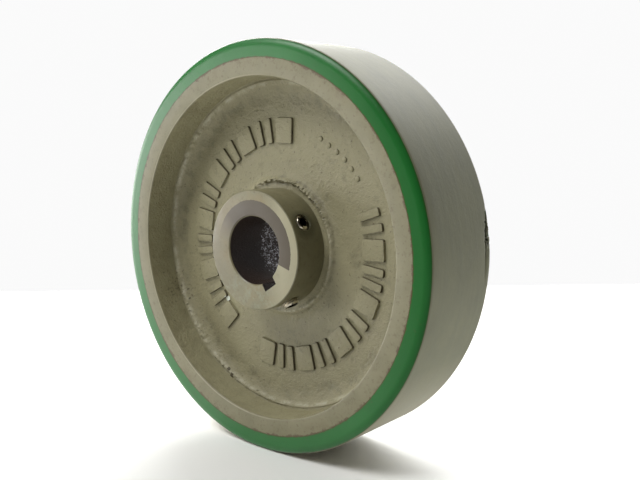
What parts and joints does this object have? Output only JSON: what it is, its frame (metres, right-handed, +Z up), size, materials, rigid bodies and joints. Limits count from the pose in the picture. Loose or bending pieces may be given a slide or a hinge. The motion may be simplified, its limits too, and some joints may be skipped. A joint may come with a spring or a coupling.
{
  "type": "keyed drive wheel",
  "caption": "Drive wheel with a dished cast-iron core, a bonded polyurethane tread, a keyed bore through the hub, and socket set screws that lock it to the shaft.",
  "frame": {"origin": "middle of the bore, on the wheel's axis, halfway through the hub and the tread", "axes": "+Y along the bore towards the plain back face, -Y towards the face beside the set screws, +Z up as the wheel stands on its tread, +X to the right seen from the front"},
  "size_m": [0.3048, 0.0794, 0.3048],
  "materials": {
    "painted_iron": "satin",
    "bonding_agent": "matte",
    "polyurethane": "satin",
    "screw_steel": "satin"
  },
  "bodies": {
    "wheel": {"wheel_core": "painted_iron", "bond_coat": "bonding_agent", "tread": "polyurethane"},
    "key_screw": {"key_set_screw": "screw_steel"},
    "side_screw": {"side_set_screw": "screw_steel"}
  },
  "joints": [
    {"name": "key_screw_travel", "type": "slide", "parent": "wheel", "child": "key_screw", "axis": [0.5446, 0, -0.8387], "range_m": [-0.0011, 0.0103]},
    {"name": "side_screw_travel", "type": "slide", "parent": "wheel", "child": "side_screw", "axis": [0.866, 0, 0.5], "range_m": [-0.0029, 0.014]}
  ]
}
